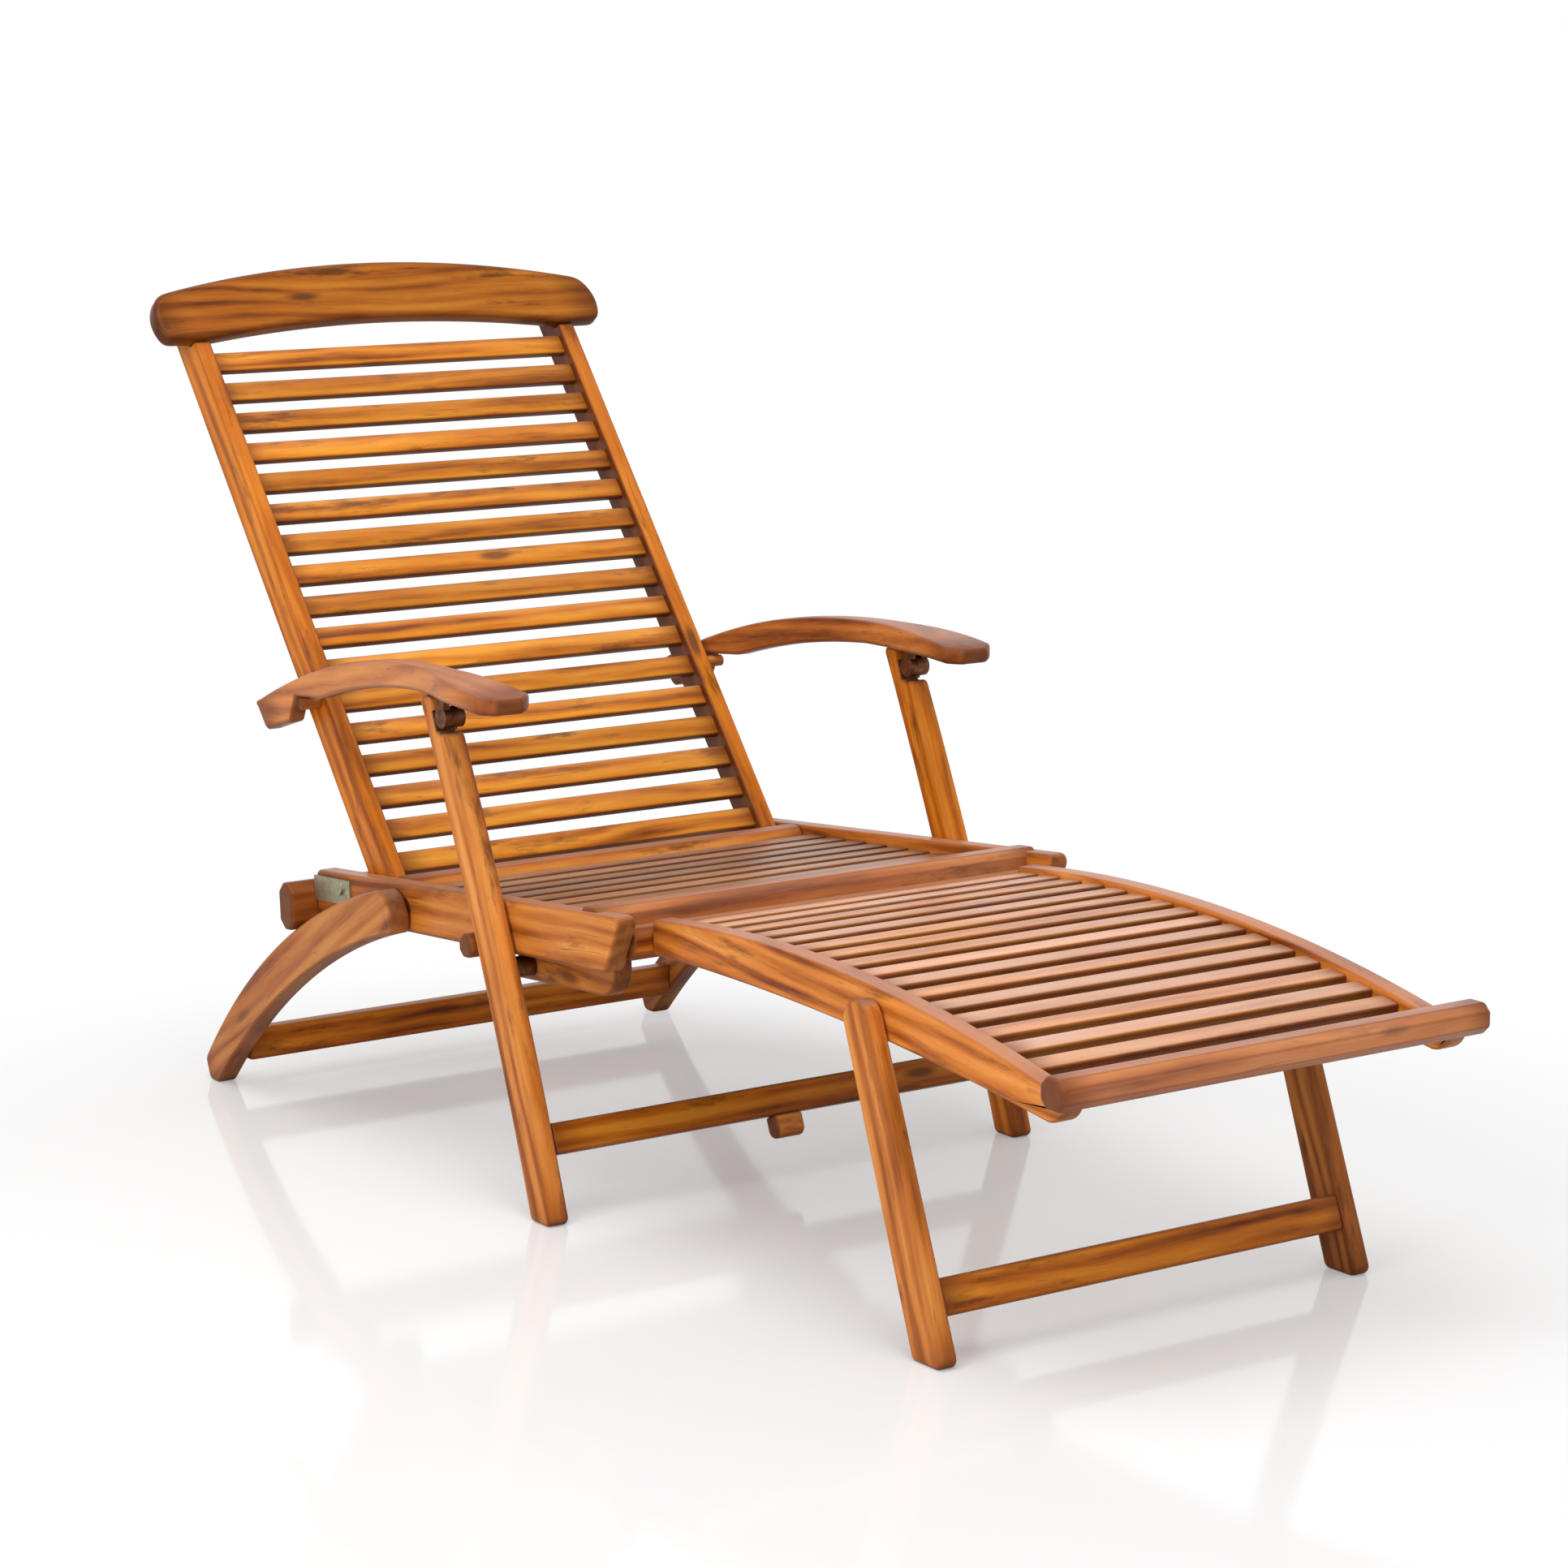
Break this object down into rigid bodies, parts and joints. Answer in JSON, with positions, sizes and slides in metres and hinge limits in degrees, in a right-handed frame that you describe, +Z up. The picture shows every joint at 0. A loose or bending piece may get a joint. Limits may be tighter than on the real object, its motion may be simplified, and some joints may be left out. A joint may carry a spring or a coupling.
{
  "type": "folding sun lounger",
  "caption": "Folding slatted wooden sun lounger with a reclined back, hooked swing arms, bowed rear legs and a hinged footrest on its own folding legs.",
  "frame": {"origin": "on the floor, in the middle of the length and of the width", "axes": "+X from the head towards the feet, +Y to the sitter's left, +Z up"},
  "size_m": [1.6388, 0.6442, 0.9058],
  "materials": {
    "frame_wood": "oiled, satin",
    "slat_wood": "oiled, satin",
    "hardware": "dull"
  },
  "bodies": {
    "seat_frame": {"back_hinge_bolts": "hardware", "corner_plate_bolts": "hardware", "corner_plate_left": "hardware", "corner_plate_right": "hardware", "footrest_hinge_bolts": "hardware", "front_leg_spacers": "hardware", "front_leg_studs": "hardware", "leg_hanger_left": "frame_wood", "leg_hanger_right": "frame_wood", "rear_bar": "frame_wood", "rear_leg_bolts": "hardware", "rear_leg_left": "frame_wood", "rear_leg_right": "frame_wood", "rear_leg_washers": "hardware", "rear_stretcher": "frame_wood", "seat_front_rail": "frame_wood", "seat_rail_left": "frame_wood", "seat_rail_right": "frame_wood", "seat_slats": "slat_wood", "stop_bar": "frame_wood"},
    "backrest": {"arm_peg_left": "frame_wood", "arm_peg_right": "frame_wood", "back_hinge_bar": "frame_wood", "back_slats": "slat_wood", "crest_rail": "frame_wood", "stile_left": "frame_wood", "stile_right": "frame_wood"},
    "front_legs": {"front_leg_left": "frame_wood", "front_leg_right": "frame_wood", "front_stretcher": "frame_wood", "leg_hinge_left": "hardware", "leg_hinge_right": "hardware", "stretcher_catch": "frame_wood"},
    "left_arm": {"arm_hinge_left": "hardware", "arm_hinge_pin_left": "hardware", "arm_left": "frame_wood"},
    "right_arm": {"arm_hinge_pin_right": "hardware", "arm_hinge_right": "hardware", "arm_right": "frame_wood"},
    "footrest": {"footrest_front_bar": "frame_wood", "footrest_hinge_bar": "frame_wood", "footrest_leg_bolts": "hardware", "footrest_rail_left": "frame_wood", "footrest_rail_right": "frame_wood", "footrest_slats": "slat_wood"},
    "footrest_legs": {"footrest_leg_left": "frame_wood", "footrest_leg_right": "frame_wood", "footrest_leg_stretcher": "frame_wood"}
  },
  "joints": [
    {"name": "back_fold", "type": "hinge", "parent": "seat_frame", "child": "backrest", "pos_m": [-0.29588, 0, 0.27144], "axis": [0, 1, 0], "range_deg": [0, 120]},
    {"name": "front_leg_fold", "type": "hinge", "parent": "seat_frame", "child": "front_legs", "pos_m": [-0.03099, 0, 0.24297], "axis": [0, 1, 0], "range_deg": [0, 92]},
    {"name": "arm_left_lift", "type": "hinge", "parent": "front_legs", "child": "left_arm", "pos_m": [-0.123, 0.294, 0.48841], "axis": [0, 1, 0], "range_deg": [0, 55.3]},
    {"name": "arm_right_lift", "type": "hinge", "parent": "front_legs", "child": "right_arm", "pos_m": [-0.123, -0.294, 0.48841], "axis": [0, 1, 0], "range_deg": [0, 55.3]},
    {"name": "footrest_drop", "type": "hinge", "parent": "seat_frame", "child": "footrest", "pos_m": [0.14544, 0, 0.29683], "axis": [0, 1, 0], "range_deg": [0, 92]},
    {"name": "footrest_leg_fold", "type": "hinge", "parent": "footrest", "child": "footrest_legs", "pos_m": [0.52744, 0, 0.29383], "axis": [0, 1, 0], "range_deg": [0, 104]}
  ],
  "couplings": [
    {"joint": "arm_left_lift", "follows": "back_fold", "ratio": 0.46},
    {"joint": "arm_right_lift", "follows": "back_fold", "ratio": 0.46}
  ]
}
